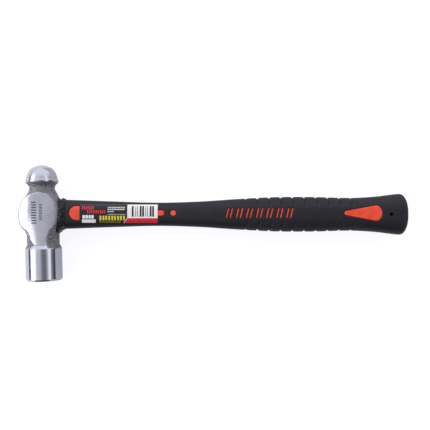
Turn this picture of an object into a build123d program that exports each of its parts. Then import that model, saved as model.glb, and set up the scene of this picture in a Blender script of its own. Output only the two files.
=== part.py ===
from build123d import *
import os

# Ball peen hammer with a bonded fibreglass handle, lying on its side. All sizes are millimetres.
# X runs along the handle to the butt, Y across it towards the ball, Z is the thickness.
# The pieces are drawn around the middle of the eye and moved to their frame at the end.

# Head, a single forging, measured along its own axis from the middle of the eye
BALL_TOP = 41.4             # height of the ball's crown
BALL_RADIUS = 13.5
BALL_RIM = 27.3             # height of the ball's rim
CROWN_POINT = (0.57, 0.85)  # a point on the ball, as shares of its radius and of its height
FLANK_POINT = (0.86, 0.49)
BALL_DRAFT = 0.25           # slope of the ball's side at its rim
BALL_NECK_RADIUS = 10.4
BALL_NECK_HEIGHT = 21.7
BALL_NECK_FLARE = 0.9       # how far the neck opens out on each side of its narrowest place
BALL_NECK_REACH = 2.6       # and over what height
POLL_NECK_RADIUS = 13.2
POLL_RADIUS = 15.0
POLL_SHOULDER = -29.2       # where the poll reaches its full radius
SHOULDER_HEIGHT = 3.8       # height of the cone between the poll and its neck
FACE_LEVEL = -55.3          # the striking face
FACE_CHAMFER = 1.1
BOSS_LENGTH = 36.0          # eye boss, along the handle, which starts just clear of it
BOSS_HEIGHT = 42.4          # eye boss, along the head
BOSS_DROP = 0.8             # the boss sits this far below the middle of the eye
BOSS_EDGE = 2.4             # rounding between the cheeks and the ends of the boss
CHEEK_THICKNESS = 24.0      # across the two ground cheeks
HEAD_RAKE = 1.5             # degrees that the head leans, poll towards the hand
EYE_HEIGHT = 25.6           # eye at its waist, along the head
EYE_WIDTH = 15.6            # eye at its waist, through the thickness
EYE_FLARE = 0.9             # the eye opens by this much each way at its two mouths

# Fibreglass core
CORE_HEIGHT = 12.4
CORE_THICKNESS = 9.2
CORE_CORNER = 4.2
CORE_SINK = 2.8             # the core's end lies this far inside the boss's outer end
CORE_STOP = 22.8            # the core ends this far short of the butt

# Resin bond
RESIN_SINK = 0.8            # the pool at the outer mouth stops this far below the boss
BEAD_REACH = 6.5            # how far the bead reaches over the boss from the end of the grip
BEAD_PROUD = 2.0            # how far the bead stands out from the end of the grip

# Handle: outer section at stations along X, as half height and half thickness. The shaft's
# stations are set from the middle of the eye, and the palm's and the butt's from the butt's end.
BUTT_END = 305.3
STATIONS = [
    (BOSS_LENGTH / 2 + 2, 12.2, 9.4),
    (57.0, 10.9, 8.5),
    (101.0, 9.8, 7.9),
    (BUTT_END - 174.3, 10.7, 8.6),
    (BUTT_END - 140.3, 12.9, 10.3),
    (BUTT_END - 109.3, 14.4, 11.6),
    (BUTT_END - 80.3, 14.5, 11.9),
    (BUTT_END - 41.3, 13.9, 11.6),
    (BUTT_END - 25.3, 15.0, 12.2),
    (BUTT_END - 7.3, 17.1, 13.2),
    (BUTT_END + 1, 17.5, 13.4),
]
HANDLE_START = STATIONS[0][0]
SECTION_CORNER = 0.78       # corner radius of a section, as a share of its half thickness
BUTT_CORNER = 6.8           # corner radius of the butt, seen from the face
BUTT_ROUND = 5.0            # the same, seen from the edge
BUTT_CROWN = 1.4            # how far the middle of the butt stands out from its corners

# Rubber over the jacket
EDGE_SKIN = 2.2
FACE_SKIN = 1.7
JACKET_STOP = 6.8           # the jacket ends this far short of the butt
WINDOW_RECESS = 0.3         # the orange pads stop this far below the rubber
WINDOW_OFFSET = 1.0         # the windows sit this far towards the ball from the handle's axis

# Windows in the rubber, from the head to the butt
DROP_INSET = 10.1           # teardrop: centre of its big end from the grip's end, then radii
DROP_START_RADIUS = 5.9
DROP_LENGTH = 70.4          # and from one centre to the other
DROP_END_RADIUS = 2.2
DOT_GAP = 9.5               # from the teardrop's small end to the dot's centre
DOT_RADIUS = 2.4
MARK_INSET = 150.3          # seven pairs of slanted bars, the first this far from the butt's end
MARK_COUNT = 7
MARK_PITCH = 8.25
MARK_GAP = 3.2
MARK_WIDTH = 1.1
MARK_HEIGHT = 7.8
MARK_SLANT = 14.0
WEDGE_INSET = 54.2          # the wedge's tip from the butt's end
WEDGE_TIP_HEIGHT = 3.1
WEDGE_LENGTH = 26.8         # from its tip to its shoulder
WEDGE_HEIGHT = 13.2
WEDGE_CROWN = 4.0           # how far the wedge's round end stands past its shoulder

# Finger grooves across the two edges of the grip
GROOVE_INSET = 135.0        # the first groove from the butt's end
GROOVE_COUNT = 10
GROOVE_PITCH = 9.75
GROOVE_WIDTH = 1.8
GROOVE_DEPTH = 1.0
GROOVE_FADE = 0.25          # how far the groove's floor stands proud of the faces, so that it runs out

HANG_HOLE_INSET = 16.0      # from the butt's end
HANG_HOLE_RADIUS = 1.5

# Label
LABEL_INSET = 12.8          # from the grip's end
LABEL_LENGTH = 64.4
LABEL_HEIGHT = 15.6
LABEL_OFFSET = 0.3          # its middle from the handle's axis, towards the ball
LABEL_THICKNESS = 0.2

REACH = 60.0                # longer than any cut has to be


def across(place):
    """The plane across the handle at a place along X, with its x along Y and its y along Z."""
    return Plane(origin=(place, 0, 0), x_dir=(0, 1, 0), z_dir=(1, 0, 0))


def slab(start, end):
    """A block that holds everything between two places along the handle."""
    return Pos((start + end) / 2, 0, 0) * Box(end - start, 2 * REACH, 2 * REACH)


def boss(inset=0.0):
    """The eye boss, or the same shape with its elliptical wall moved inwards."""
    outline = Ellipse(BOSS_LENGTH / 2 - inset, BOSS_HEIGHT / 2 - inset)
    return Pos(0, -BOSS_DROP, 0) * extrude(outline, CHEEK_THICKNESS / 2, both=True)


def eye():
    """The oval eye, narrowest at its waist, longer than the boss at both ends."""
    waist = across(0) * Ellipse(EYE_HEIGHT / 2, EYE_WIDTH / 2)
    mouth = Ellipse(EYE_HEIGHT / 2 + EYE_FLARE, EYE_WIDTH / 2 + EYE_FLARE)
    reach = BOSS_LENGTH / 2 + 1
    return loft([across(-reach) * mouth, waist]) + loft([waist, across(reach) * mouth])


def turned_body():
    """Ball, neck, barrel and poll as one turned shape around the head's axis."""
    ball_height = BALL_TOP - BALL_RIM
    ball = Spline(
        (0, BALL_TOP),
        (CROWN_POINT[0] * BALL_RADIUS, BALL_RIM + CROWN_POINT[1] * ball_height),
        (FLANK_POINT[0] * BALL_RADIUS, BALL_RIM + FLANK_POINT[1] * ball_height),
        (BALL_RADIUS, BALL_RIM),
        tangents=[(1, 0), (BALL_DRAFT, -1)],
    )
    neck_side = BALL_NECK_RADIUS + BALL_NECK_FLARE
    neck_top = (neck_side, BALL_NECK_HEIGHT + BALL_NECK_REACH)
    neck_foot = (neck_side, BALL_NECK_HEIGHT - BALL_NECK_REACH)
    undercut = Line((BALL_RADIUS, BALL_RIM), neck_top)
    neck = ThreePointArc(neck_top, (BALL_NECK_RADIUS, BALL_NECK_HEIGHT), neck_foot)
    lower = Polyline(
        neck_foot,
        (POLL_NECK_RADIUS, CHEEK_THICKNESS / 2),
        (POLL_NECK_RADIUS, POLL_SHOULDER + SHOULDER_HEIGHT),
        (POLL_RADIUS, POLL_SHOULDER),
        (POLL_RADIUS, FACE_LEVEL + FACE_CHAMFER),
        (POLL_RADIUS - FACE_CHAMFER, FACE_LEVEL),
        (0, FACE_LEVEL),
        (0, BALL_TOP),
    )
    return revolve(make_face(ball + undercut + neck + lower), Axis.Y)


def hammer_head():
    """The forging: turned body and eye boss, ground flat on both cheeks, with the eye through it."""
    block = boss()
    block = fillet(block.edges().filter_by(GeomType.ELLIPSE), BOSS_EDGE)
    grind_top = BALL_NECK_HEIGHT
    grind_foot = POLL_SHOULDER + SHOULDER_HEIGHT
    grind = Pos(0, (grind_top + grind_foot) / 2, CHEEK_THICKNESS / 2 + REACH / 2)
    ground = grind * Box(REACH, grind_top - grind_foot, REACH)
    body = turned_body() - ground - mirror(ground, Plane.XY)
    return Rot(0, 0, HEAD_RAKE) * (body + block) - eye()


def handle_core():
    """Fibreglass rod from inside the eye to short of the hang hole."""
    start = CORE_SINK - BOSS_LENGTH / 2
    section = across(start) * RectangleRounded(CORE_HEIGHT, CORE_THICKNESS, CORE_CORNER)
    return extrude(section, BUTT_END - CORE_STOP - start)


def handle_shape(height_change=0.0, thickness_change=0.0):
    """The handle's swept shape, with its half height and half thickness changed."""
    sections = []
    for place, half_height, half_thickness in STATIONS:
        height = half_height + height_change
        thickness = half_thickness + thickness_change
        corner = SECTION_CORNER * half_thickness + min(height_change, thickness_change)
        sections.append(across(place) * RectangleRounded(2 * height, 2 * thickness, corner))
    return loft(sections)


def butt_limit():
    """Block that rounds the butt, seen from the face and from the edge."""
    length = BUTT_END - HANDLE_START
    corner_place = BUTT_END - BUTT_CROWN
    half = STATIONS[-2][1]
    crown = ThreePointArc((corner_place, -half), (BUTT_END, 0), (corner_place, half))
    sides = Polyline(
        (corner_place, half),
        (HANDLE_START, half),
        (HANDLE_START, -half),
        (corner_place, -half),
    )
    plan = fillet(make_face(crown + sides).vertices().group_by(Axis.X)[-1], BUTT_CORNER)
    half_thickness = STATIONS[-2][2]
    side = Rectangle(length, 2 * half_thickness)
    side = fillet(side.vertices().group_by(Axis.X)[-1], BUTT_ROUND)
    side = Plane.XZ * Pos(HANDLE_START + length / 2, 0) * side
    return extrude(plan, REACH, both=True) & extrude(side, REACH, both=True)


def windows():
    """Outlines of the orange pads, cut right through the thickness."""
    drop_start = HANDLE_START + DROP_INSET
    drop = make_hull(
        (Pos(drop_start, 0) * Circle(DROP_START_RADIUS)).edges()
        + (Pos(drop_start + DROP_LENGTH, 0) * Circle(DROP_END_RADIUS)).edges()
    )
    dot = Pos(drop_start + DROP_LENGTH + DOT_GAP, 0) * Circle(DOT_RADIUS)
    shapes = [drop, dot]
    for pair in range(MARK_COUNT):
        for bar in range(2):
            place = BUTT_END - MARK_INSET + pair * MARK_PITCH + bar * MARK_GAP
            mark = Rot(0, 0, -MARK_SLANT) * Rectangle(MARK_WIDTH, MARK_HEIGHT)
            shapes.append(Pos(place, 0) * mark)
    tip = BUTT_END - WEDGE_INSET
    shoulder = tip + WEDGE_LENGTH
    blunt = WEDGE_TIP_HEIGHT / 2
    half = WEDGE_HEIGHT / 2
    flanks = Polyline((shoulder, half), (tip, blunt), (tip, -blunt), (shoulder, -half))
    crown = ThreePointArc((shoulder, -half), (shoulder + WEDGE_CROWN, 0), (shoulder, half))
    shapes.append(make_face(flanks + crown))
    return [Pos(0, WINDOW_OFFSET, 0) * extrude(shape, REACH, both=True) for shape in shapes]


def hang_hole():
    """The hole near the butt, through rubber and jacket."""
    return Pos(BUTT_END - HANG_HOLE_INSET, 0, 0) * Cylinder(HANG_HOLE_RADIUS, 2 * REACH)


def handle_jacket():
    """Orange moulding around the core, with pads that rise into the windows of the rubber."""
    shell = handle_shape(-EDGE_SKIN, -FACE_SKIN) & slab(HANDLE_START, BUTT_END - JACKET_STOP)
    pad_level = handle_shape(0, -WINDOW_RECESS)
    for window in windows():
        shell = shell + (pad_level & window)
    return shell - handle_core() - hang_hole()


def grooves():
    """Slots across both edges of the grip, which run out towards its faces."""
    floor = handle_shape(-GROOVE_DEPTH, GROOVE_FADE)
    first = BUTT_END - GROOVE_INSET
    places = [first + step * GROOVE_PITCH for step in range(GROOVE_COUNT)]
    return [slab(place - GROOVE_WIDTH / 2, place + GROOVE_WIDTH / 2) - floor for place in places]


def rubber_grip(jacket):
    """Black rubber over the jacket, grooved, with its windows where the pads stand."""
    grip = handle_shape() & butt_limit()
    for groove in grooves():
        grip = grip - groove
    for window in windows():
        grip = grip - window
    return grip - jacket - handle_core() - hang_hole()


def eye_resin(head):
    """Cured resin between the core and the eye, and the bead against the end of the grip."""
    plug = eye() & (Rot(0, 0, HEAD_RAKE) * boss(RESIN_SINK))
    start = HANDLE_START - BEAD_REACH
    half_height, half_thickness = STATIONS[0][1:]
    corner = SECTION_CORNER * half_thickness
    end = across(HANDLE_START) * RectangleRounded(2 * half_height, 2 * half_thickness, corner)
    wide = RectangleRounded(2 * half_height + 2 * BEAD_PROUD, 2 * half_thickness + BEAD_PROUD, corner)
    bead = loft([across(start) * wide, end])
    return plug + (bead - head) - handle_core()


def label_film():
    """Printed film that follows the front face of the grip."""
    middle = HANDLE_START + LABEL_INSET + LABEL_LENGTH / 2
    outline = Pos(middle, LABEL_OFFSET) * Rectangle(LABEL_LENGTH, LABEL_HEIGHT)
    film = handle_shape(LABEL_THICKNESS, LABEL_THICKNESS) - handle_shape()
    return film & extrude(outline, REACH)


head = hammer_head()
jacket = handle_jacket()
pieces = {
    "hammer_head": head,
    "handle_core": handle_core(),
    "eye_resin": eye_resin(head),
    "handle_jacket": jacket,
    "rubber_grip": rubber_grip(jacket),
    "label_film": label_film(),
}

# The frame's origin is the middle of the underside of the whole hammer's box.
boxes = [piece.bounding_box() for piece in pieces.values()]
low = [min(tuple(box.min)[axis] for box in boxes) for axis in range(3)]
high = [max(tuple(box.max)[axis] for box in boxes) for axis in range(3)]
to_frame = Pos(-(low[0] + high[0]) / 2, -(low[1] + high[1]) / 2, -low[2])

os.makedirs("parts", exist_ok=True)
for name, piece in pieces.items():
    export_step(to_frame * piece, os.path.join("parts", name + ".step"))
    print(name, "volume", round(piece.volume, 1), "solids", len(piece.solids()))
print("box", [round(high[axis] - low[axis], 2) for axis in range(3)])
print("eye centre in the frame", [round(value, 3) for value in tuple(to_frame.position)])
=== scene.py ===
import bpy
import bmesh
import numpy as np
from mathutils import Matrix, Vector, noise


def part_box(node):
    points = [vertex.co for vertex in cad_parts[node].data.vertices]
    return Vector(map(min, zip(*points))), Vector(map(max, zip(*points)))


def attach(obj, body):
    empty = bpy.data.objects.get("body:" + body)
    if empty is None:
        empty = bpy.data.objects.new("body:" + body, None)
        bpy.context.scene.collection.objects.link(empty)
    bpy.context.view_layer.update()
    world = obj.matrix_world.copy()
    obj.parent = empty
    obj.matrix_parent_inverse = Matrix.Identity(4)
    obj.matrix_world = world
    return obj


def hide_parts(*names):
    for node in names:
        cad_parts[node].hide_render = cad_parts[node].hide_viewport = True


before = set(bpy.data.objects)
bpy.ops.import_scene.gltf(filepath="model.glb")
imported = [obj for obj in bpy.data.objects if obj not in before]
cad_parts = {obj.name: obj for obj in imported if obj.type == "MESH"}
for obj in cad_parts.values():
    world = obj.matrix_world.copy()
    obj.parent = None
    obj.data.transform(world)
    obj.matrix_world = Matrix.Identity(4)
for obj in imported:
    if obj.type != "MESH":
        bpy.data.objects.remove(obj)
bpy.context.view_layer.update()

# Ball peen hammer lying on its side. Lengths in this script are millimetres around the middle of
# the eye, with X along the handle, Y towards the ball and Z through the thickness, as in the CAD
# model. TO_FRAME brings them to the frame, in metres.
MM = 0.001
CORE_INSET = 15.2           # from the core's end in the eye to the middle of the eye
core_low, core_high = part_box("handle_core")
TO_FRAME = Vector((
    core_low[0] + CORE_INSET * MM,
    (core_low[1] + core_high[1]) / 2,
    (core_low[2] + core_high[2]) / 2,
))

# Head, along its own axis, which leans by the rake
HEAD_RAKE = np.radians(1.5)
HEAD_COLUMNS = 320          # points round each ring
BALL_TOP = 41.4
BALL_RIM = 27.3
BALL_NECK_HEIGHT = 21.9
POLL_NECK_RADIUS = 13.2
POLL_RADIUS = 15.0
POLL_SHOULDER = -28.7
SHOULDER_HEIGHT = 3.4
NECK_FOOT = POLL_SHOULDER + SHOULDER_HEIGHT
FACE_LEVEL = -55.29
FACE_CHAMFER = 1.4          # chamfer of the struck face, along the head
CHAMFER_SLOPE = 0.75        # and how far it goes in for each millimetre along
FACE_RINGS = (0.9, 0.6, 0.3)
# Turned profile from the neck to the crown, as height and radius
BALL_PROFILE = (
    (14.0, 13.2), (16.0, 12.6), (17.5, 12.0), (19.2, 11.1), (21.7, 10.4), (23.2, 10.6), (24.2, 11.1),
    (25.4, 12.1), (26.3, 13.0), (27.0, 13.4), (27.5, 13.5), (29.2, 13.1), (31.75, 12.5), (34.3, 11.6),
    (36.8, 10.2), (39.0, 7.9), (40.6, 4.4),
)

# Eye boss
BOSS_LENGTH = 36.0
BOSS_HEIGHT = 42.4
BOSS_DROP = 0.8             # its middle lies this far below the middle of the eye
BOSS_STOCK = 1.5            # steel above the cheeks' level that the belt takes off
BOSS_THINNING = 3.6         # how much thinner it gets towards the ball
BOSS_BLEND = 2.5            # how wide its blend with the turned body is
HANDLE_SIDE_TRIM = 0.045    # share by which it is shorter towards the handle
OUTER_SQUARENESS = 6.0      # how much squarer its corners are away from the handle
# How square its corners are at each height
BOSS_SQUARENESS = (
    (-20.0, 2.2), (-15.8, 2.25), (-12.9, 2.65), (-9.6, 3.5), (0.5, 4.4), (8.0, 5.3), (12.1, 4.85),
    (15.0, 3.65), (17.0, 3.2), (20.0, 3.0),
)
EYE_HEIGHT = 27.0
EYE_WIDTH = 17.0
EYE_CUT = 40.0              # reach of the cutter each way, well past the boss

# Cheeks, ground on a belt
CHEEK_LEVEL = 12.0
CHEEK_RISE = 0.3            # how much higher they are in the middle
CHEEK_FALL = 0.35           # how much they fall over 20 mm along the head
CHEEK_CROWN = 0.0042        # bend along the handle, in mm per square mm
EDGE_CROWN = 0.0062         # and how much stronger it is away from the handle
CHEEK_SHEEN = 0.86          # the belt leaves them duller than the buffed poll and ball
ROLL_START = (-14.3, -10.0)
ROLL_END = (-4.5, -25.6)
ROLL_TOP = 16.0
FOLD_START = (-5.2, -10.5)
FOLD_END = (-0.9, -25.5)
FACET_TILT = np.radians(17)
# Lumps of the forged skin: how high, how wide, and a shift that sets each noise apart
FORGE_LUMPS = ((0.2, 3.2, 0), (0.1, 0.9, 50))

# Struck dashes: middle, length, lowest, highest and count of each column
STAMP_COLUMNS = ((-4.1, 4.0, -7.6, 11.6, 9), (1.6, 2.6, -4.9, 9.2, 11))
STAMP_DEPTH = 0.35
STAMP_SHARE = 0.4           # share of each column's pitch that a dash takes

# Handle sections along X: half height and half thickness
HANDLE_START = 20.0
START_ROUND = 0.9
BUTT_END = 305.3
STATIONS = (
    (20.0, 12.2, 9.4),
    (57.0, 10.9, 8.5),
    (101.0, 9.8, 7.9),
    (131.0, 10.7, 8.6),
    (165.0, 12.9, 10.3),
    (196.0, 14.4, 11.6),
    (225.0, 14.5, 11.9),
    (264.0, 13.9, 11.6),
    (280.0, 15.0, 12.2),
    (298.0, 17.1, 13.2),
    (BUTT_END + 1, 17.5, 13.4),
)
SQUARENESS = 2.6            # exponent of the handle's section, 2 for an oval
EDGE_SKIN = 2.2             # rubber over the jacket at the edges
FACE_SKIN = 1.7             # and on the faces
JACKET_END = 298.5
CORE_HEIGHT = 12.4
CORE_WIDTH = 9.2
CLEARANCE = 0.05            # keeps the jacket's own surface clear of the core and the rubber
BUTT_CORNER = 7.6

# Windows in the rubber
WINDOW_OFFSET = 1.0         # they sit this far towards the ball
DROP_START = 30.1
DROP_START_RADIUS = 5.9
DROP_LENGTH = 70.4
DROP_END_RADIUS = 2.2
DOT_PLACE = 110.0
DOT_RADIUS = 2.4
MARK_START = 155.0
MARK_COUNT = 7
MARK_PITCH = 8.25
MARK_GAP = 3.2
MARK_WIDTH = 1.1
MARK_HEIGHT = 7.8
MARK_SLANT = np.radians(14)
WEDGE_TIP = 251.1
WEDGE_TIP_HEIGHT = 3.1
WEDGE_LENGTH = 26.8
WEDGE_HEIGHT = 13.2
WEDGE_CROWN = 4.0

LIP_DEPTH = 0.95            # how far the rubber dips at a window
LIP_ROUND = 0.6             # over what width its lip rounds off
PAD_RECESS = 0.12           # the orange pads stop this far below the rubber
PAD_GAP = 0.05
PAD_ROUND = 0.35
PAD_ROOT = 0.6              # they start this far below the rubber's inner face

# Grooves along both edges of the grip
GROOVE_START = 170.3
GROOVE_COUNT = 10
GROOVE_PITCH = 9.75
GROOVE_WIDTH = 2.6
GROOVE_DEPTH = 1.0
FIRST_GROOVE = 0.45         # share of the depth that the first one has
GROOVE_SLANT = 0.2
BALL_SIDE_SLANT = 0.35      # share of the slant on the edge towards the ball
SCALLOP = 0.22

CREASE_INSET = 3.4          # fine moulded line round the butt
CREASE_WIDTH = 0.35
CREASE_DEPTH = 0.3

HANG_HOLE_PLACE = 289.3
HANG_HOLE_RADIUS = 1.5

# Bead of resin: half height towards the ball and away from it, and half thickness, at each place
BEAD_START = 12.0
BEAD_END = HANDLE_START + 0.2
BEAD_ABOVE = ((12.0, 13.0), (15.7, 12.5), (17.0, 13.4), (18.2, 13.0), (20.2, 11.9))
BEAD_BELOW = ((12.0, 17.0), (14.6, 15.2), (15.7, 14.0), (16.7, 13.3), (18.2, 12.7), (20.2, 12.1))
BEAD_THICKNESS = ((12.0, 10.2), (15.4, 11.3), (17.0, 11.5), (18.5, 10.9), (20.2, 9.6))
BEAD_LUMPS = ((0.7, 2.8, 0), (0.3, 1.1, 20))
# Pool of resin in the eye's outer mouth
POOL_SINK = 1.3
POOL_MENISCUS = 0.5         # how far it creeps up the wall of the eye
POOL_FOOT = -8.0
POOL_SHARES = (1.0, 0.96, 0.9, 0.8, 0.65, 0.5, 0.35, 0.2)
POOL_RIPPLE = 0.16

LABEL_START = 32.8
LABEL_END = 97.2
LABEL_HEIGHT = 15.6
LABEL_OFFSET = 0.3
LABEL_CELL = 0.25
FILM_LIFT = 0.02            # clear of the rubber
FILM_TOP = 0.2


# ---------------------------------------------------------------- small helpers

def smooth(low, high, value):
    """0 below low, 1 above high and an S-curve between."""
    t = np.clip((value - low) / (high - low), 0, 1)
    return t * t * (3 - 2 * t)


def soft_max(a, b, blend):
    """The larger of two values, rounded over where they are within blend of each other."""
    near = np.clip(1 - np.abs(a - b) / blend, 0, 1)
    return np.maximum(a, b) + near * near * blend / 4


def soft_min(a, b, blend):
    return -soft_max(-a, -b, blend)


def cubic(points, places):
    """Smooth curve through (place, value) points, with flat-free Catmull-Rom slopes."""
    xs = np.array([point[0] for point in points], float)
    ys = np.array([point[1] for point in points], float)
    slopes = np.gradient(ys, xs)
    span = np.clip(np.searchsorted(xs, places, side="right") - 1, 0, len(xs) - 2)
    width = xs[span + 1] - xs[span]
    t = (places - xs[span]) / width
    return (
        (2 * t**3 - 3 * t**2 + 1) * ys[span]
        + (t**3 - 2 * t**2 + t) * width * slopes[span]
        + (3 * t**2 - 2 * t**3) * ys[span + 1]
        + (t**3 - t**2) * width * slopes[span + 1]
    )


def fractal(points, grain, octaves=3):
    """Noise of about -1 to 1 at an array of points, with lumps of one grain in size."""
    flat = points.reshape(-1, 3) / grain
    values = [noise.fractal(Vector(point), 1.0, 2.0, octaves) for point in flat]
    return np.array(values).reshape(points.shape[:-1])


def lumpy(points, sizes, octaves=3):
    """Sum of noises at the points: each size is how high, how wide, and a shift of its noise."""
    return sum(high * fractal(points + shift, wide, octaves) for high, wide, shift in sizes)


def placed_object(name, vertices, faces):
    """An object from points in millimetres around the eye, brought to its place in the frame."""
    mesh = bpy.data.meshes.new(name)
    placed = np.asarray(vertices, float) * MM + np.array(TO_FRAME)
    mesh.from_pydata(placed.tolist(), [], faces)
    made = bpy.data.objects.new(name, mesh)
    bpy.context.scene.collection.objects.link(made)
    return made


def new_piece(name, vertices, faces, finishes, replaced):
    """A smooth piece in one or more finishes, riding on the hammer's body."""
    piece = placed_object(name, vertices, faces)
    piece.data.validate()
    piece.data.polygons.foreach_set("use_smooth", [True] * len(piece.data.polygons))
    for finish in finishes:
        piece.data.materials.append(finish)
    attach(piece, "root")
    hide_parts(*replaced)
    return piece


def mark_points(piece, name, values, rest):
    """Stores a value at each point for a material to read, and the rest at the points that follow."""
    filled = np.full(len(piece.data.vertices), rest, np.float32)
    filled[:values.size] = values.ravel()
    piece.data.attributes.new(name, "FLOAT", "POINT").data.foreach_set("value", filled)


def turn_outward(piece):
    """Makes every face of a closed piece look out of it."""
    mesh = bmesh.new()
    mesh.from_mesh(piece.data)
    bmesh.ops.recalc_face_normals(mesh, faces=mesh.faces)
    mesh.to_mesh(piece.data)
    mesh.free()


def circle(count):
    """Angles of a ring's points."""
    return np.linspace(0, 2 * np.pi, count, endpoint=False)


def spread(places, columns):
    """The same place for each point of its section."""
    return np.repeat(places[:, None], columns, axis=1)


def ring_faces(rows, columns, first=0, closed=False):
    """Faces between rings of points, from the point numbered first on."""
    here = first + np.arange(rows * columns).reshape(rows, columns)
    following = np.roll(here, -1, axis=1)
    if closed:
        below, below_following = np.roll(here, -1, axis=0), np.roll(following, -1, axis=0)
    else:
        here, following = here[:-1], following[:-1]
        below, below_following = here + columns, following + columns
    quads = np.stack([here, following, below_following, below], axis=-1)
    return quads.reshape(-1, 4).tolist()


def fan(middle, first, count, backwards=False):
    """Triangles from a middle point to a ring of points."""
    sides = [(first + step, first + (step + 1) % count) for step in range(count)]
    if backwards:
        sides = [(following, here) for here, following in sides]
    return [[middle, *side] for side in sides]


def capped(rings, start_middle, end_middle, first=0):
    """Points and faces of a stack of rings that is closed at both ends, to a middle point there."""
    rows, columns = len(rings), len(rings[0])
    points = np.concatenate([np.reshape(rings, (-1, 3)), [start_middle, end_middle]])
    middles = first + rows * columns
    faces = ring_faces(rows, columns, first)
    faces += fan(middles, first, columns, backwards=True)
    faces += fan(middles + 1, middles - columns, columns)
    return points.tolist(), faces


def cut(piece, cutter):
    """Takes one closed piece out of another, and keeps the cutter's material in the cut."""
    bpy.context.view_layer.objects.active = piece
    modifier = piece.modifiers.new("cut", "BOOLEAN")
    modifier.operation = "DIFFERENCE"
    modifier.solver = "EXACT"
    modifier.object = cutter
    modifier.material_mode = "TRANSFER"
    depsgraph = bpy.context.evaluated_depsgraph_get()
    result = bpy.data.meshes.new_from_object(piece.evaluated_get(depsgraph))
    piece.modifiers.clear()
    piece.data = result
    bpy.data.objects.remove(cutter)


def closed_prism(name, outlines, material):
    """Closed prisms in one object: each outline is a pair of matching rings of points."""
    vertices, faces = [], []
    for near, far in outlines:
        start, count = len(vertices), len(near)
        vertices += list(near) + list(far)
        faces.append([start + count - 1 - step for step in range(count)])
        faces.append([start + count + step for step in range(count)])
        faces += ring_faces(2, count, start)
    prism = placed_object(name, vertices, faces)
    prism.data.materials.append(material)
    turn_outward(prism)
    return prism


# ---------------------------------------------------------------- materials

def colour(code):
    """Linear colour from an sRGB hex value."""
    levels = [int(code[start:start + 2], 16) / 255 for start in (0, 2, 4)]
    return [x / 12.92 if x <= 0.04045 else ((x + 0.055) / 1.055) ** 2.4 for x in levels] + [1.0]


def add(tree, kind, inputs=None, stops=None, **settings):
    """Adds a node: settings go on it, stops are (place, hex) pairs, an input is a value or a socket."""
    node = tree.nodes.new("ShaderNode" + kind)
    for key, value in settings.items():
        setattr(node, key, value)
    for key, value in (inputs or {}).items():
        if isinstance(value, bpy.types.NodeSocket):
            tree.links.new(value, node.inputs[key])
        else:
            node.inputs[key].default_value = value
    if stops:
        elements = node.color_ramp.elements
        while len(elements) < len(stops):
            elements.new(0.5)
        for element, (place, shade) in zip(elements, stops):
            element.position = place
            element.color = colour(shade)
    return node


def blank(name):
    """A new material with an empty tree, its surface shader and its coordinates in millimetres."""
    material = bpy.data.materials.new(name)
    material.use_nodes = True
    tree = material.node_tree
    tree.nodes.clear()
    shader = add(tree, "BsdfPrincipled")
    add(tree, "OutputMaterial", {"Surface": shader.outputs["BSDF"]})
    place = add(tree, "TexCoord").outputs["Object"]
    millimetres = add(tree, "VectorMath", {0: place, 1: (1 / MM,) * 3}, operation="MULTIPLY")
    return material, tree, shader, millimetres.outputs["Vector"]


def colour_and_relief(tree, shader, tone, stops, relief, rough, strength, depth):
    """Colours from one pattern; roughness between two values and bumps, in mm, from another."""
    shade = add(tree, "ValToRGB", {"Fac": tone.outputs["Fac"]}, stops=stops)
    tree.links.new(shade.outputs["Color"], shader.inputs["Base Color"])
    gloss = add(tree, "MapRange", {"Value": relief.outputs["Fac"], "To Min": rough[0], "To Max": rough[1]})
    tree.links.new(gloss.outputs["Result"], shader.inputs["Roughness"])
    height = relief.outputs["Fac"]
    bump = add(tree, "Bump", {"Height": height, "Strength": strength, "Distance": depth * MM})
    tree.links.new(bump.outputs["Normal"], shader.inputs["Normal"])
    return bump


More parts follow.
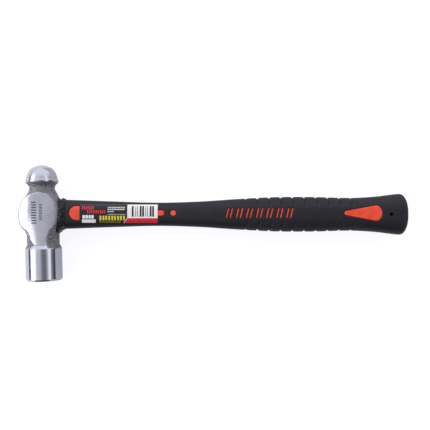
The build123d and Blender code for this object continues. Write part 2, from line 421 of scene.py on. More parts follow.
def forged_steel():
    """Drop-forged carbon steel: ground and buffed where the mask says, dark and gritty elsewhere."""
    material, tree, shader, place = blank("forged_steel")
    ground = add(tree, "Attribute", attribute_name="ground").outputs["Fac"]
    # Pits of forging scale 0.3 mm across are too fine to show, so they are drawn about 0.9 mm across.
    grit = add(tree, "TexNoise", {"Vector": place, "Scale": 1.1, "Detail": 5.0, "Roughness": 0.7})
    skin = add(
        tree, "ValToRGB", {"Fac": grit.outputs["Fac"]},
        stops=[(0.36, "56555C"), (0.5, "98979F"), (0.63, "D3D2DA")],
    )
    # The buffing wheel leaves hazy patches about 8 mm across.
    haze = add(tree, "TexNoise", {"Vector": place, "Scale": 0.12, "Detail": 3.0})
    buffed = add(tree, "ValToRGB", {"Fac": haze.outputs["Fac"]}, stops=[(0.3, "BFC1CD"), (0.7, "CACCD8")])
    mixed = add(
        tree, "Mix", {0: ground, 6: skin.outputs["Color"], 7: buffed.outputs["Color"]}, data_type="RGBA",
    )
    tree.links.new(mixed.outputs[2], shader.inputs["Base Color"])
    rough = add(tree, "MapRange", {"Value": haze.outputs["Fac"], "To Min": 0.1, "To Max": 0.18})
    mixed_rough = add(tree, "Mix", {0: ground, 2: 0.62, 3: rough.outputs["Result"]})
    tree.links.new(mixed_rough.outputs[0], shader.inputs["Roughness"])
    shader.inputs["Metallic"].default_value = 1.0
    # Buffing lines 0.15 mm apart are too fine to show, so they are drawn about 0.5 mm apart.
    stretched = add(tree, "Mapping", {"Vector": place, "Scale": (2.2, 0.12, 2.2)})
    lines = add(tree, "TexNoise", {"Vector": stretched.outputs["Vector"], "Scale": 1.0, "Detail": 3.0})
    line_bump = add(tree, "Bump", {"Height": lines.outputs["Fac"], "Strength": 0.05, "Distance": 0.1 * MM})
    unground = add(tree, "Math", {0: 1.0, 1: ground}, operation="SUBTRACT")
    pits = add(tree, "Math", {0: unground.outputs["Value"], 1: 2.5}, operation="POWER")
    pit_bump = add(tree, "Bump", {
        "Height": grit.outputs["Fac"],
        "Strength": pits.outputs["Value"],
        "Distance": 0.7 * MM,
        "Normal": line_bump.outputs["Normal"],
    })
    tree.links.new(pit_bump.outputs["Normal"], shader.inputs["Normal"])
    return material


def moulded_rubber():
    """Black thermoplastic rubber from an etched mould: satin, finely stippled beside the palm."""
    material, tree, shader, place = blank("moulded_rubber")
    cloud = add(tree, "TexNoise", {"Vector": place, "Scale": 0.08, "Detail": 3.0})
    # The etch is about 0.3 mm across and the stipple about 0.9 mm.
    etch = add(tree, "TexNoise", {"Vector": place, "Scale": 3.0, "Detail": 2.0})
    shades = [(0.3, "0E0E17"), (0.7, "141420")]
    fine = colour_and_relief(tree, shader, cloud, shades, etch, (0.45, 0.6), 0.12, 0.1)
    cells = add(tree, "TexVoronoi", {"Vector": place, "Scale": 1.1}, feature="SMOOTH_F1")
    band = add(tree, "Attribute", attribute_name="stipple")
    bumps = add(tree, "Bump", {
        "Height": cells.outputs["Distance"],
        "Strength": band.outputs["Fac"],
        "Distance": 0.6 * MM,
        "Normal": fine.outputs["Normal"],
    })
    tree.links.new(bumps.outputs["Normal"], shader.inputs["Normal"])
    shader.inputs["IOR"].default_value = 1.5
    return material


def orange_moulding():
    """Injection-moulded polypropylene in safety orange: satin, with a faint flow pattern."""
    material, tree, shader, place = blank("orange_moulding")
    # The flow marks are about 7 mm across and the spark-eroded grain about 0.25 mm.
    flow = add(tree, "TexNoise", {"Vector": place, "Scale": 0.15, "Detail": 2.0})
    grain = add(tree, "TexNoise", {"Vector": place, "Scale": 4.0, "Detail": 2.0})
    shades = [(0.3, "EC4426"), (0.7, "F95639")]
    colour_and_relief(tree, shader, flow, shades, grain, (0.35, 0.5), 0.1, 0.1)
    shader.inputs["IOR"].default_value = 1.49
    return material


def cured_resin():
    """Black pigmented epoxy that set lumpy, with a wet gloss."""
    material, tree, shader, place = blank("cured_resin")
    # Blobs and bubbles of about 1.7 mm
    cloud = add(tree, "TexNoise", {"Vector": place, "Scale": 0.6, "Detail": 3.0})
    shades = [(0.4, "08080B"), (0.62, "22222A")]
    colour_and_relief(tree, shader, cloud, shades, cloud, (0.06, 0.22), 0.8, 0.6)
    shader.inputs["IOR"].default_value = 1.5
    shader.inputs["Specular IOR Level"].default_value = 0.45
    return material


def glass_fibre():
    """Pultruded glass fibre rod: straw-coloured, with fibres along its length."""
    material, tree, shader, place = blank("glass_fibre")
    # Real rovings are about 0.3 mm wide.
    stretched = add(tree, "Mapping", {"Vector": place, "Scale": (0.05, 3.0, 3.0)})
    fibres = add(tree, "TexNoise", {"Vector": stretched.outputs["Vector"], "Scale": 1.0, "Detail": 3.0})
    shades = [(0.3, "C9B98A"), (0.7, "E4DAB6")]
    colour_and_relief(tree, shader, fibres, shades, fibres, (0.35, 0.55), 0.3, 0.1)
    return material


def printed_film(name, dark, light):
    """Glossy polypropylene film with one printed ink, a little uneven where the ink is thin."""
    material, tree, shader, place = blank(name)
    # Mottle of about 0.7 mm in the ink, and ripples of about 4 mm in the film
    ink = add(tree, "TexNoise", {"Vector": place, "Scale": 1.5, "Detail": 3.0})
    ripple = add(tree, "TexNoise", {"Vector": place, "Scale": 0.25, "Detail": 1.0})
    shades = [(0.35, dark), (0.65, light)]
    colour_and_relief(tree, shader, ink, shades, ripple, (0.25, 0.4), 0.15, 0.3)
    return material


STEEL = forged_steel()
RUBBER = moulded_rubber()
ORANGE = orange_moulding()
RESIN = cured_resin()
FIBRE = glass_fibre()
STAMP = printed_film("stamped_ink", "2B2A2E", "4A494F")     # dark lacquer in the struck dashes
INKS_AND_HIGHLIGHT = {
    "black": printed_film("black_print", "121214", "1E1E20"),
    "white": printed_film("white_print", "ECECEC", "FAFAFA"),
    "red": printed_film("red_print", "D01E30", "E23442"),
    "yellow": printed_film("yellow_print", "DCC91E", "EADB3C"),
    # Grey line painted along the label's upper edge: a painted highlight where the edge catches light
    "edge": printed_film("painted_edge_highlight", "3C3C44", "5A5A62"),
}


# ---------------------------------------------------------------- head

def turned_radius(height):
    """Radius of the forging around the head's axis, before the boss and the cheeks."""
    crown_base, crown_radius = BALL_PROFILE[-1]
    neck = BALL_PROFILE[0][0]
    ball = cubic(BALL_PROFILE, np.clip(height, neck, crown_base))
    crown = crown_radius * np.sqrt(np.clip((BALL_TOP - height) / (BALL_TOP - crown_base), 0, 1))
    flare = np.clip((NECK_FOOT - height) / SHOULDER_HEIGHT, 0, 1)
    poll = POLL_NECK_RADIUS + flare * (POLL_RADIUS - POLL_NECK_RADIUS)
    chamfer = CHAMFER_SLOPE * np.clip(FACE_LEVEL + FACE_CHAMFER - height, 0, FACE_CHAMFER)
    poll = np.minimum(poll, POLL_RADIUS - chamfer)
    return np.where(height > crown_base, crown, np.where(height > neck, ball, poll))


def head_levels():
    """Heights of the rings from the crown to the face, closer together where the shape turns."""
    crown_base = BALL_PROFILE[-1][0]
    return np.concatenate([
        BALL_TOP - (BALL_TOP - crown_base) * np.linspace(0.03, 1, 14) ** 2,
        np.linspace(crown_base - 0.1, BALL_RIM, 60),
        np.linspace(BALL_RIM - 0.2, 12, 90),
        np.linspace(11.8, -24, 130),
        np.linspace(-24.2, POLL_SHOULDER - 0.4, 36),
        np.linspace(POLL_SHOULDER - 0.9, FACE_LEVEL + FACE_CHAMFER, 50),
        np.linspace(FACE_LEVEL + FACE_CHAMFER - 0.1, FACE_LEVEL, 8),
    ])


def boss_radius(height, cosine, sine):
    """Distance from the head's axis to the eye boss, an oval with squared corners."""
    reach = np.sqrt(np.clip(1 - ((height + BOSS_DROP) / (BOSS_HEIGHT / 2)) ** 2, 0, 1))
    half_length = BOSS_LENGTH / 2 * reach * (1 - HANDLE_SIDE_TRIM * smooth(0, 0.3, cosine)) + 1e-6
    half_width = CHEEK_LEVEL + BOSS_STOCK - BOSS_THINNING * smooth(15.6, 19.0, height)
    outer = smooth(0.1, -0.4, cosine) * smooth(-13, -6, height) * smooth(15, 9, height)
    power = cubic(BOSS_SQUARENESS, np.clip(height, -20, 20)) + OUTER_SQUARENESS * outer
    along, through = np.abs(cosine) / half_length, np.abs(sine) / half_width
    return (along**power + through**power) ** (-1 / power)


def cheek_radius(height, cosine, sine):
    """Distance from the head's axis to the belt-ground cheeks."""
    # A little crowned: level = middle - bend * (distance along the handle)^2.
    middle = CHEEK_LEVEL + CHEEK_RISE - CHEEK_FALL * (height / 20) ** 2
    bend = (CHEEK_CROWN + EDGE_CROWN * smooth(-0.15, -0.75, cosine)) * cosine**2 + 1e-9
    flat = (np.sqrt(sine**2 + 4 * bend * middle) - np.abs(sine)) / (2 * bend)
    # The belt also took a slanted facet off the corner away from the handle.
    run = np.array(FOLD_END) - np.array(FOLD_START)
    facing = np.array([-run[1], run[0]]) / np.hypot(*run)
    tilt = np.tan(FACET_TILT) * smooth(3, -9, height)
    past = facing[0] * FOLD_START[0] + facing[1] * (FOLD_START[1] - height)
    lean = np.abs(sine) - tilt * facing[0] * cosine
    facet = np.where(lean > 0.05, (CHEEK_LEVEL + 0.1 - tilt * past) / np.maximum(lean, 0.05), 99.0)
    return soft_min(flat, facet, 1.0)


def bright_steel(points, touched, ground_zone):
    """How far each point is ground bright, from where the belt touched the cheeks."""
    along, across, out = points[..., 0], points[..., 1], np.abs(points[..., 2])
    # On the side away from the handle the belt rolled over the edge, down to a slanted line.
    line = (ROLL_END[0] - ROLL_START[0], ROLL_END[1] - ROLL_START[1])
    beside = ((along - ROLL_START[0]) * line[1] - (across - ROLL_START[1]) * line[0]) / np.hypot(*line)
    inside = smooth(0.3, -0.3, beside)
    touched = touched * (1 - (1 - inside) * smooth(1, -1, along) * smooth(-8, -12, across))
    top = ROLL_TOP + 0.4 * (along + 6.2).clip(-20, 0)
    roll = inside * smooth(7.0, 9.0, out) * smooth(0, -3, along) * smooth(top + 0.8, top, across)
    cheek = CHEEK_SHEEN * np.maximum(touched, roll) * ground_zone
    poll_start = POLL_SHOULDER + 0.2 + (SHOULDER_HEIGHT - 0.6) * smooth(7.5, 5.5, np.abs(along))
    poll = 1 - smooth(poll_start, poll_start + 0.5, across)
    ball = smooth(BALL_RIM - 0.9, BALL_RIM - 0.3, across)
    return np.clip(cheek + poll + ball, 0, 1)


def head_surface():
    """Points of the forging and, at each point, how far it is ground bright."""
    height, angle = np.meshgrid(head_levels(), circle(HEAD_COLUMNS), indexing="ij")
    cosine, sine = np.cos(angle), np.sin(angle)
    radius = turned_radius(height)
    in_body = smooth(BALL_NECK_HEIGHT + 1, BALL_NECK_HEIGHT - 3, height) * smooth(-27.5, -24.5, height)
    with_boss = soft_max(radius, boss_radius(height, cosine, sine) * in_body, BOSS_BLEND)
    shape = np.where(in_body > 0, with_boss, radius)
    flat = cheek_radius(height, cosine, sine)
    ground_zone = smooth(NECK_FOOT - 0.6, NECK_FOOT + 0.2, height) * (height < BALL_NECK_HEIGHT)
    limited = soft_min(shape, flat, 0.4 + 0.8 * smooth(2, -6, shape * cosine))
    touched = smooth(-0.15, 0.1, shape - flat)
    shape = shape + (limited - shape) * ground_zone
    points = np.stack([shape * cosine, height, shape * sine], axis=-1)
    ground = bright_steel(points, touched, ground_zone)
    shape = shape + lumpy(points, FORGE_LUMPS) * (1 - ground)
    return np.stack([shape * cosine, height, shape * sine], axis=-1), ground


def rake(points):
    """Leans points of the head about the middle of the eye."""
    x, y = points[..., 0], points[..., 1]
    leaned_x = x * np.cos(HEAD_RAKE) - y * np.sin(HEAD_RAKE)
    leaned_y = x * np.sin(HEAD_RAKE) + y * np.cos(HEAD_RAKE)
    return np.stack([leaned_x, leaned_y, points[..., 2]], axis=-1)


def eye_ring(place):
    """Ring of points round the eye, across the handle."""
    turn = circle(96)
    y, z = EYE_HEIGHT / 2 * np.cos(turn), EYE_WIDTH / 2 * np.sin(turn)
    return np.stack([np.full_like(turn, place), y, z], axis=-1)


def stamp_marks():
    """Plain struck dashes in two columns on the cheek, with no letters."""
    marks = []
    for middle, length, lowest, highest, count in STAMP_COLUMNS:
        pitch = (highest - lowest) / count
        left, right = middle - length / 2, middle + length / 2
        for step in range(count):
            foot = lowest + step * pitch
            top = foot + pitch * STAMP_SHARE
            corners = [(left, foot), (right, foot), (right, top), (left, top)]
            near, far = (
                rake(np.array([(x, y, level) for x, y in corners]))
                for level in (CHEEK_LEVEL + 2, CHEEK_LEVEL - STAMP_DEPTH)
            )
            marks.append((near, far))
    return marks


def build_head():
    """The forging, with the eye cut through it and dashes struck in one cheek."""
    points, ground = head_surface()
    face_rings = np.concatenate([points[-1:] * [share, 1, share] for share in FACE_RINGS])
    rings = rake(np.concatenate([points, face_rings]))
    crown, face = rake(np.array([0, BALL_TOP, 0.0])), rake(np.array([0, FACE_LEVEL, 0.0]))
    vertices, faces = capped(rings, crown, face)
    head = new_piece("forged_head", vertices, faces, [STEEL], ["hammer_head"])
    mark_points(head, "ground", ground, 1.0)
    cut(head, closed_prism("eye_cutter", [(eye_ring(-EYE_CUT), eye_ring(EYE_CUT))], STEEL))
    cut(head, closed_prism("stamp_cutter", stamp_marks(), STAMP))
    head.data.set_sharp_from_angle(angle=np.radians(32))


# ---------------------------------------------------------------- handle

def half_height(place):
    return cubic([(x, h) for x, h, t in STATIONS], place)


def half_thickness(place):
    return cubic([(x, t) for x, h, t in STATIONS], place)


def butt_share(place):
    """How the outline closes at the butt: share of the full height left at a place."""
    start = BUTT_END - BUTT_CORNER
    t = np.clip((place - start) / BUTT_CORNER, 0, 1)
    return np.sqrt(np.clip(1 - t**2.6, 0, 1))


def face_level(place, across_place):
    """Height of the handle's front face over its mid-plane."""
    share = np.clip(np.abs(across_place) / half_height(place), 0, 1)
    return half_thickness(place) * (1 - share**SQUARENESS) ** (1 / SQUARENESS)


def section(height, thickness, columns):
    """Evenly spaced points round a section: y and z for each place."""
    fine = np.linspace(0, 2 * np.pi, 1441)
    unit_y = np.sign(np.cos(fine)) * np.abs(np.cos(fine)) ** (2 / SQUARENESS)
    unit_z = np.sign(np.sin(fine)) * np.abs(np.sin(fine)) ** (2 / SQUARENESS)
    ys, zs = [], []
    for h, t in zip(height, thickness):
        y, z = h * unit_y, t * unit_z
        run = np.concatenate([[0], np.cumsum(np.hypot(np.diff(y), np.diff(z)))])
        even = np.linspace(0, run[-1], columns, endpoint=False)
        ys.append(np.interp(even, run, y))
        zs.append(np.interp(even, run, z))
    return np.array(ys), np.array(zs)


def drop_distance(x, y):
    """Distance outside the teardrop window, two circles joined by their tangents."""
    slope = (DROP_START_RADIUS - DROP_END_RADIUS) / DROP_LENGTH
    rise = np.sqrt(1 - slope * slope)
    along, aside = x - DROP_START, np.abs(y)
    run = along * rise - aside * slope
    big_end = np.hypot(along, aside) - DROP_START_RADIUS
    small_end = np.hypot(along - DROP_LENGTH, aside) - DROP_END_RADIUS
    flank = aside * rise + along * slope - DROP_START_RADIUS
    return np.where(run < 0, big_end, np.where(run > DROP_LENGTH * rise, small_end, flank))


def dot_distance(x, y):
    return np.hypot(x - DOT_PLACE, y) - DOT_RADIUS


def bar_distance(x, y, place):
    """Distance outside one slanted bar."""
    beside = np.abs(x - place - y * np.tan(MARK_SLANT)) - MARK_WIDTH / 2
    beyond = np.abs(y) - MARK_HEIGHT / 2
    return np.hypot(np.maximum(beside, 0), np.maximum(beyond, 0)) + np.minimum(np.maximum(beside, beyond), 0)


def wedge_distance(x, y):
    """Distance outside the wedge window near the butt, with its corners rounded."""
    slope = (WEDGE_HEIGHT - WEDGE_TIP_HEIGHT) / 2 / WEDGE_LENGTH
    flank = (np.abs(y) - WEDGE_TIP_HEIGHT / 2 - (x - WEDGE_TIP) * slope) / np.hypot(1, slope)
    radius = ((WEDGE_HEIGHT / 2) ** 2 + WEDGE_CROWN**2) / (2 * WEDGE_CROWN)
    crown_centre = WEDGE_TIP + WEDGE_LENGTH + WEDGE_CROWN - radius
    crown = np.hypot(np.maximum(x - crown_centre, 0), y) - radius
    return soft_max(soft_max(flank, WEDGE_TIP - x, 0.8), crown, 1.0)


def bar_places():
    return [
        MARK_START + pair * MARK_PITCH + bar * MARK_GAP
        for pair in range(MARK_COUNT)
        for bar in range(2)
    ]


def windows():
    """Each window as its distance function and a point inside it."""
    found = [
        (drop_distance, DROP_START + DROP_LENGTH / 3),
        (dot_distance, DOT_PLACE),
        (wedge_distance, WEDGE_TIP + 0.75 * WEDGE_LENGTH),
    ]
    for place in bar_places():
        found.append((lambda x, y, place=place: bar_distance(x, y, place), place))
    return found


def window_distance(x, y):
    """Distance outside the nearest window."""
    nearest = np.full(np.shape(x), 99.0)
    for distance, place in windows():
        nearest = np.minimum(nearest, distance(x, y - WINDOW_OFFSET))
    return nearest


def grip_places():
    """Places of the grip's sections, closer together where its two ends round off."""
    butt_start = BUTT_END - BUTT_CORNER
    opening = HANDLE_START + START_ROUND * (1 - np.cos(np.linspace(0, np.pi / 2, 6)))
    closing = butt_start + BUTT_CORNER * np.sin(np.linspace(0, np.pi / 2, 36)[1:-1])
    return np.concatenate([opening, np.arange(HANDLE_START + 1.2, butt_start, 0.32), closing])


def grooves(x, y, height):
    """How far the grooves and the scallops between them push the grip's edges out."""
    fade = smooth(0.3, 0.8, np.abs(y) / height)
    lean = GROOVE_SLANT * (height - np.abs(y)) * np.where(y < 0, 1.0, BALL_SIDE_SLANT)
    step = (x - lean - GROOVE_START) / GROOVE_PITCH
    nearest = np.clip(np.round(step), 0, GROOVE_COUNT - 1)
    off = np.abs(step - nearest) * GROOVE_PITCH
    notch = np.clip(1 - off / (GROOVE_WIDTH / 2), 0, 1) ** 0.8
    depth = GROOVE_DEPTH * np.where(nearest == 0, FIRST_GROOVE, 1.0)
    in_grip = smooth(-0.6, 0.2, step) * smooth(GROOVE_COUNT - 0.2, GROOVE_COUNT - 1.2, step)
    crest = np.cos((step - np.floor(step) - 0.5) * np.pi) ** 0.6
    return fade * (SCALLOP * in_grip * (crest - 0.8) - depth * notch)


def grip_outside(columns):
    """Points of the rubber's outer surface, and where beside the palm it is stippled."""
    places = grip_places()
    short = ((HANDLE_START + START_ROUND - places) / START_ROUND).clip(0, 1)
    start_round = START_ROUND * (1 - np.sqrt(1 - short**2))
    share = butt_share(places)
    height = half_height(places) * share - start_round
    thickness = half_thickness(places) * share**0.7 - start_round
    y, z = section(height, thickness, columns)
    x, height, thickness = spread(places, columns), height[:, None], thickness[:, None]
    # Outward direction in the section
    normal_y = np.sign(y) * (np.abs(y) / height) ** (SQUARENESS - 1) / height
    normal_z = np.sign(z) * (np.abs(z) / thickness) ** (SQUARENESS - 1) / thickness
    length = np.hypot(normal_y, normal_z) + 1e-9
    normal_y, normal_z = normal_y / length, normal_z / length
    crease = CREASE_DEPTH * np.exp(-(((x - BUTT_END + CREASE_INSET) / CREASE_WIDTH) ** 2))
    lip = LIP_DEPTH * (1 - smooth(-0.15, LIP_ROUND, window_distance(x, y))) * (np.abs(normal_z) > 0.35)
    push = grooves(x, y, height) - crease - lip
    palm = smooth(GROOVE_START - 8, GROOVE_START + 4, x) * smooth(272, 262, x)
    stipple = smooth(0.42, 0.6, np.abs(y) / height) * palm
    return np.stack([x, y + push * normal_y, z + push * normal_z], axis=-1), stipple


def build_grip():
    """Rubber skin over the jacket, closed at the butt, with the hang hole through it."""
    columns = 288
    outer, stipple = grip_outside(columns)
    places = np.linspace(JACKET_END, HANDLE_START, 60)
    inner_y, inner_z = section(half_height(places) - EDGE_SKIN, half_thickness(places) - FACE_SKIN, columns)
    inner = np.stack([spread(places, columns), inner_y, inner_z], axis=-1)
    grid = np.concatenate([outer, inner]).reshape(-1, 3)
    vertices = np.concatenate([grid, [[BUTT_END, 0, 0], [JACKET_END, 0, 0]]])
    butt_middle, inner_middle = len(grid), len(grid) + 1
    first_inner, last_inner = len(outer) * columns, len(grid) - columns
    faces = ring_faces(len(outer), columns) + ring_faces(len(inner), columns, first_inner)
    faces += fan(butt_middle, first_inner - columns, columns)
    faces += fan(inner_middle, first_inner, columns, backwards=True)
    for column in range(columns):
        following = (column + 1) % columns
        faces.append([column, last_inner + column, last_inner + following, following])
    grip = new_piece("grooved_grip", vertices, faces, [RUBBER], ["rubber_grip"])
    mark_points(grip, "stipple", stipple, 0.0)
    turn_outward(grip)
    cut(grip, hole_cutter())


def hole_cutter():
    """Pin as wide as the hang hole, through the whole handle."""
    turn = circle(48)
    x = HANG_HOLE_PLACE + HANG_HOLE_RADIUS * np.cos(turn)
    ring = np.stack([x, HANG_HOLE_RADIUS * np.sin(turn), np.zeros_like(turn)], axis=-1)
    return closed_prism("hole_cutter", [(ring + [0, 0, 30], ring - [0, 0, 30])], RUBBER)


def window_outline(distance, place):
    """Evenly spaced points round a window, found outwards from a point inside it."""
    turn = np.linspace(0, 2 * np.pi, 3000, endpoint=False)
    near, far = np.zeros_like(turn), np.full_like(turn, 80.0)
    for _ in range(40):
        middle = (near + far) / 2
        inside = distance(place + middle * np.cos(turn), middle * np.sin(turn)) < -PAD_GAP
        near, far = np.where(inside, middle, near), np.where(inside, far, middle)
    points = np.stack([place + near * np.cos(turn), near * np.sin(turn)], axis=-1)
    closed = np.concatenate([points, points[:1]])
    run = np.concatenate([[0], np.cumsum(np.hypot(*np.diff(closed, axis=0).T))])
    even = np.linspace(0, run[-1], max(48, int(run[-1] / 0.45)), endpoint=False)
    return np.stack([np.interp(even, run, closed[:, 0]), np.interp(even, run, closed[:, 1])], axis=-1)


def pad_rings(outline, place):
    """Rings of one pad as points and depths, from its foot, over its rounded edge, to its middle."""
    ahead, behind = np.roll(outline, -1, axis=0), np.roll(outline, 1, axis=0)
    along = ahead - behind
    inward = np.stack([-along[:, 1], along[:, 0]], axis=-1) / np.hypot(along[:, 0], along[:, 1])[:, None]
    rings = [(outline, FACE_SKIN + PAD_ROOT), (outline, PAD_RECESS + PAD_ROUND)]
    for angle in np.radians([20, 40, 60, 90]):
        inset = outline + inward * PAD_ROUND * (1 - np.cos(angle))
        rings.append((inset, PAD_RECESS + PAD_ROUND * (1 - np.sin(angle))))
    edge = rings[-1][0]
    middle = np.array([place, 0.0])
    for share in np.linspace(1, 0, 14)[1:-1]:
        rings.append((middle + (edge - middle) * share, PAD_RECESS))
    return rings


def under_face(points, depth, side):
    """Points of a window brought to a depth below the front or the back face."""
    x, y = points[:, 0], points[:, 1] + WINDOW_OFFSET
    return np.stack([x, y, side * (face_level(x, y) - depth)], axis=-1)


def build_pads():
    """The jacket's orange pads, which fill the windows in the rubber on both faces."""
    vertices, faces = [], []
    for distance, place in windows():
        flat_rings = pad_rings(window_outline(distance, place), place)
        middle = np.array([[place, 0.0]])
        for side in (1, -1):
            rings = [under_face(points, depth, side) for points, depth in flat_rings]
            foot = under_face(middle, FACE_SKIN + PAD_ROOT, side)[0]
            top = under_face(middle, PAD_RECESS, side)[0]
            pad_points, pad_faces = capped(rings, foot, top, len(vertices))
            vertices += pad_points
            faces += pad_faces
    pads = new_piece("orange_pads", vertices, faces, [ORANGE], ["handle_jacket"])
    turn_outward(pads)
    pads.data.set_sharp_from_angle(angle=np.radians(50))


def build_jacket():
    """Orange moulding round the core, inside the rubber."""
    columns = 96
    places = np.linspace(HANDLE_START + 0.4, JACKET_END - 0.2, 90)
    outer = section(
        half_height(places) - EDGE_SKIN - CLEARANCE, half_thickness(places) - FACE_SKIN - CLEARANCE, columns
    )
    core = np.ones_like(places)
    inner = section(core * (CORE_HEIGHT / 2 + CLEARANCE), core * (CORE_WIDTH / 2 + CLEARANCE), columns)
    x = spread(places, columns)
    tube = np.concatenate([
        np.stack([x, *outer], axis=-1),
        np.stack([x, *inner], axis=-1)[::-1],
    ])
    faces = ring_faces(len(tube), columns, closed=True)
    jacket = new_piece("orange_jacket", tube.reshape(-1, 3), faces, [ORANGE], ["handle_jacket"])
    turn_outward(jacket)
    cut(jacket, hole_cutter())
    jacket.data.set_sharp_from_angle(angle=np.radians(50))


# ---------------------------------------------------------------- resin

def bead_rings():
    """Lumpy bead between the boss and the grip."""
    columns = 240
    places = np.linspace(BEAD_START, BEAD_END, 60)
    above, below = cubic(BEAD_ABOVE, places), cubic(BEAD_BELOW, places)
    y, z = section(above, cubic(BEAD_THICKNESS, places), columns)
    y = np.where(y < 0, y * (below / above)[:, None], y)
    x = spread(places, columns)
    points = np.stack([x, y, z], axis=-1)
    ends = smooth(BEAD_START, BEAD_START + 1, x) * smooth(BEAD_END, HANDLE_START - 1.2, x)
    outward = np.stack([np.zeros_like(x), y / 14, z / 11], axis=-1)
    outward /= np.linalg.norm(outward, axis=-1, keepdims=True)
    return points + outward * (lumpy(points, BEAD_LUMPS, 2) * ends)[..., None]


def pool_rings():
    """Pool in the eye's outer mouth, which follows the boss's curved end a little below it."""
    turn = circle(128)
    rings = []
    for share in POOL_SHARES:
        y = EYE_HEIGHT / 2 * share * np.cos(turn)
        z = EYE_WIDTH / 2 * share * np.sin(turn)
        wall = BOSS_LENGTH / 2 * np.sqrt(1 - ((y + BOSS_DROP) / (BOSS_HEIGHT / 2)) ** 2)
        ring = np.stack([-wall + POOL_SINK - POOL_MENISCUS * share**4, y, z], axis=-1)
        ring[:, 0] += POOL_RIPPLE * fractal(ring, 4.0, 2) * (1 - share**6)
        rings.append(ring)
    return np.array([rings[0] * [0, 1, 1] + [POOL_FOOT, 0, 0]] + rings)


def build_resin():
    """The bead beside the grip and the pool at the eye's far end, in one piece."""
    bead, bead_faces = capped(bead_rings(), [BEAD_START, 0, 0], [BEAD_END, 0, 0])
    pool_middle = [-BOSS_LENGTH / 2 + POOL_SINK, 0, 0]
    pool, pool_faces = capped(pool_rings(), [POOL_FOOT, 0, 0], pool_middle, len(bead))
    resin = new_piece("resin_bead", bead + pool, bead_faces + pool_faces, [RESIN], ["eye_resin"])
    turn_outward(resin)


# ---------------------------------------------------------------- label

# Plain printed blocks, and in the first row a painted highlight, a grey line along the label's upper
# edge: left, right, bottom, top, dash pitch and dash length, from the label's left edge and its middle.
# A row with no pitch is solid.
BLOCKS = (
    ("edge", 0.0, 39.3, 7.4, 7.7, 0, 0),
    ("red", 2.0, 12.4, 3.4, 6.2, 1.75, 1.0),
    ("red", 6.2, 21.0, 0.6, 3.0, 1.75, 1.0),
    ("white", 23.4, 37.4, 5.0, 5.9, 1.5, 1.0),
    ("white", 23.4, 37.4, 3.3, 4.2, 1.7, 1.2),
    ("white", 23.4, 28.4, 1.4, 2.2, 1.5, 1.0),
    ("white", 23.4, 38.2, -0.5, -0.2, 0, 0),
    ("white", 2.6, 12.0, -3.9, -1.0, 2.4, 1.9),
    ("white", 2.0, 13.2, -7.2, -4.5, 0, 0),
    ("yellow", 16.6, 38.2, -5.2, -1.6, 2.4, 1.5),
    ("yellow", 16.0, 34.0, -6.9, -6.5, 0, 0),
)
PANEL_LEFT = 39.3
PANEL_BOTTOM = -3.6
STRIPE_BOTTOM = -7.5
STRIPE_SLANT = 0.8          # the stripe's end moves this far for each millimetre up
STRIPE_EDGE = 0.5           # white line along it
BARS_LEFT = 3.4             # margins of the bars in the panel
BARS_RIGHT = 2.4
BARS_BOTTOM = -2.3
BARS_TOP = 6.6
BAR_CELL = 0.5
BAR_PERIOD = 17
BAR_CELLS = (1, 4, 9, 15)   # a cell is black where its square leaves one of these over


def ink_at(x, y):
    """Which ink or painted edge highlight covers a label spot, x from its left edge and y from its middle.
    """
    if x > PANEL_LEFT and y > PANEL_BOTTOM:
        in_bars = PANEL_LEFT + BARS_LEFT < x < LABEL_END - LABEL_START - BARS_RIGHT
        in_bars = in_bars and BARS_BOTTOM < y < BARS_TOP
        return "black" if in_bars and int(x / BAR_CELL) ** 2 % BAR_PERIOD in BAR_CELLS else "white"
    edge = x - (PANEL_LEFT - BARS_LEFT + (y - STRIPE_BOTTOM) * STRIPE_SLANT)
    if STRIPE_BOTTOM < y <= PANEL_BOTTOM and edge > 0:
        return "white" if edge < STRIPE_EDGE else "red"
    for ink, left, right, bottom, top, pitch, dash in BLOCKS:
        if left < x < right and bottom < y < top and (not pitch or (x - left) % pitch < dash):
            return ink
    return "black"


def build_label():
    """Film that follows the front face, printed with plain blocks, bars and stripes."""
    length = LABEL_END - LABEL_START
    across_x = np.linspace(0, length, int(length / LABEL_CELL) + 1)
    across_y = np.linspace(-LABEL_HEIGHT / 2, LABEL_HEIGHT / 2, int(LABEL_HEIGHT / LABEL_CELL) + 1)
    x, y = np.meshgrid(LABEL_START + across_x, LABEL_OFFSET + across_y, indexing="ij")
    level = face_level(x, y)
    top = np.stack([x, y, level + FILM_TOP], axis=-1).reshape(-1, 3)
    bottom = np.stack([x, y, level + FILM_LIFT], axis=-1).reshape(-1, 3)
    rows, columns = x.shape
    count = rows * columns
    faces, face_finishes = [], []
    names = list(INKS_AND_HIGHLIGHT)
    for row in range(rows - 1):
        for column in range(columns - 1):
            corner = row * columns + column
            quad = [corner, corner + columns, corner + columns + 1, corner + 1]
            middle_x = (across_x[row] + across_x[row + 1]) / 2
            middle_y = (across_y[column] + across_y[column + 1]) / 2
            faces += [quad, [index + count for index in reversed(quad)]]
            face_finishes += [names.index(ink_at(middle_x, middle_y)), names.index("white")]
    rim = (
        [row * columns for row in range(rows)]
        + [(rows - 1) * columns + column for column in range(1, columns)]
        + [row * columns + columns - 1 for row in range(rows - 2, -1, -1)]
        + [column for column in range(columns - 2, 0, -1)]
    )
    for here, following in zip(rim, rim[1:] + rim[:1]):
        faces.append([following, here, here + count, following + count])
        face_finishes.append(names.index("white"))
    vertices = np.concatenate([top, bottom])
    label = new_piece("printed_label", vertices, faces, list(INKS_AND_HIGHLIGHT.values()), ["label_film"])
    label.data.polygons.foreach_set("material_index", face_finishes)
    turn_outward(label)


# ---------------------------------------------------------------- stage

TABLE_REACH = 3.0           # metres each way
CAMERA_HEIGHT = 504.0       # above the hammer's mid-plane
VIEW_WIDTH = 361.2          # width of the mid-plane that fills the view
VIEW_MIDDLE = (144.65, -0.6)
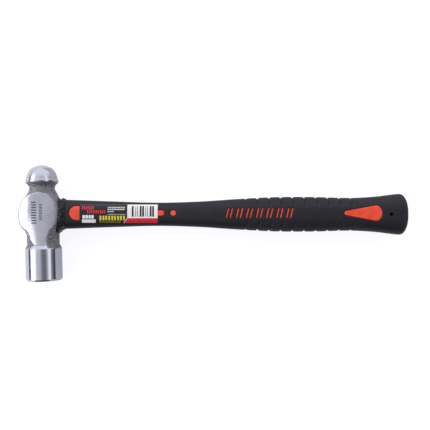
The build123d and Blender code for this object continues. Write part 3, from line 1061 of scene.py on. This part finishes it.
# Light that comes from each side of the table, by the angle from straight up towards the butt
BANDS = (
    (-180, 0.8), (-98, 0.8), (-93, 0.05), (-76, 0.05), (-71, 2.3), (-45, 2.3), (-33, 0.84), (-8, 0.7),
    (2, 0.3), (20, 0.2), (28, 0.3), (36, 0.55), (45, 1.15), (53, 1.45), (58, 0.9), (62, 0.3), (76, 0.2),
    (80, 0.05), (95, 0.05), (99, 0.5), (180, 0.8),
)
STRONGEST = 2.5
BALL_SIDE_LIGHT = 1.1
FACE_SIDE_LIGHT = 0.1
STUDIO_TINT = (0.985, 0.99, 1.03)


def build_floor():
    """Wide, evenly lit pale table under the hammer."""
    material, tree, shader, place = blank("pale_table")
    cloud = add(tree, "TexNoise", {"Vector": place, "Scale": 0.01})
    shade = add(tree, "ValToRGB", {"Fac": cloud.outputs["Fac"]}, stops=[(0.3, "8A8A8C"), (0.7, "909092")])
    tree.links.new(shade.outputs["Color"], shader.inputs["Base Color"])
    shader.inputs["Roughness"].default_value = 0.9
    shader.inputs["Specular IOR Level"].default_value = 0.0
    # The table glows, so that the hammer throws almost no shadow; it sends less light up beside
    # the handle, where the hammer would shade a real table.
    parts = add(tree, "SeparateXYZ", {"Vector": place})
    side = add(tree, "MapRange", {
        "Value": parts.outputs["X"], "From Min": -150.0, "From Max": -125.0, "To Min": 0.8, "To Max": 0.42,
    })
    seen = add(tree, "LightPath")
    glow = add(tree, "Mix", {0: seen.outputs["Is Camera Ray"], 2: side.outputs["Result"], 3: 0.9})
    tree.links.new(glow.outputs[0], shader.inputs["Emission Strength"])
    shader.inputs["Emission Color"].default_value = colour("FAFAFF")
    mesh = bpy.data.meshes.new("floor")
    corners = [(-1, -1), (1, -1), (1, 1), (-1, 1)]
    mesh.from_pydata([(x * TABLE_REACH, y * TABLE_REACH, 0) for x, y in corners], [], [[0, 1, 2, 3]])
    mesh.materials.append(material)
    floor = bpy.data.objects.new("floor", mesh)
    bpy.context.scene.collection.objects.link(floor)


def studio_light(level):
    """Colour of a light level, as a share of the strongest one."""
    return [level / STRONGEST * tint for tint in STUDIO_TINT] + [1]


def build_light():
    """Soft boxes left and right of the table, a pale wall behind it and one soft lamp."""
    world = bpy.data.worlds.new("studio")
    bpy.context.scene.world = world
    world.use_nodes = True
    tree = world.node_tree
    tree.nodes.clear()
    parts = add(tree, "SeparateXYZ", {"Vector": add(tree, "TexCoord").outputs["Generated"]})
    turn = add(tree, "Math", {0: parts.outputs["X"], 1: parts.outputs["Z"]}, operation="ARCTAN2")
    share = add(tree, "MapRange", {"Value": turn.outputs["Value"], "From Min": -np.pi, "From Max": np.pi})
    ramp = add(tree, "ValToRGB", {"Fac": share.outputs["Result"]})
    elements = ramp.color_ramp.elements
    while len(elements) < len(BANDS):
        elements.new(0.5)
    for element, (angle, level) in zip(elements, BANDS):
        element.position = (angle + 180) / 360
        element.color = studio_light(level)
    light = ramp.outputs["Color"]
    # The wall stands towards the ball; the room is dark towards the struck face.
    for end, level in ((1, BALL_SIDE_LIGHT), (-1, FACE_SIDE_LIGHT)):
        turned = {"Value": parts.outputs["Y"], "From Min": 0.25 * end, "From Max": 0.7 * end}
        near = add(tree, "MapRange", turned).outputs["Result"]
        mixed = add(tree, "Mix", {0: near, 6: light, 7: studio_light(level)}, data_type="RGBA")
        light = mixed.outputs[2]
    studio = add(tree, "Background", {"Color": light, "Strength": STRONGEST})
    plain = add(tree, "Background", {"Color": colour("FCFCFD"), "Strength": 1.0})
    seen = add(tree, "LightPath").outputs["Is Camera Ray"]
    surface = add(tree, "MixShader", {0: seen, 1: studio.outputs[0], 2: plain.outputs[0]})
    add(tree, "OutputWorld", {"Surface": surface.outputs[0]})
    lamp_data = bpy.data.lights.new("soft_lamp", "AREA")
    lamp_data.shape = "SQUARE"
    lamp_data.size = 0.9
    lamp_data.energy = 2
    lamp = bpy.data.objects.new("soft_lamp", lamp_data)
    lamp.location = (0.0, 0.75, 0.75)
    lamp.rotation_euler = (np.radians(-45), 0, 0)
    lamp.visible_glossy = False
    bpy.context.scene.collection.objects.link(lamp)


def build_camera():
    """Camera straight above the hammer, as far away as the rims of the head show."""
    camera_data = bpy.data.cameras.new("camera")
    camera_data.sensor_width = 36.0
    camera_data.lens = camera_data.sensor_width * CAMERA_HEIGHT / VIEW_WIDTH
    camera_data.clip_start = 0.01
    camera_data.clip_end = 50
    camera = bpy.data.objects.new("camera", camera_data)
    camera.location = Vector((*VIEW_MIDDLE, CAMERA_HEIGHT)) * MM + TO_FRAME
    bpy.context.scene.collection.objects.link(camera)
    bpy.context.scene.camera = camera


build_camera()
build_head()
build_grip()
build_jacket()
build_pads()
build_resin()
build_label()
core_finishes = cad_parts["handle_core"].data.materials
core_finishes.clear()
core_finishes.append(FIBRE)
build_floor()
build_light()
bpy.context.scene.view_settings.view_transform = "Standard"
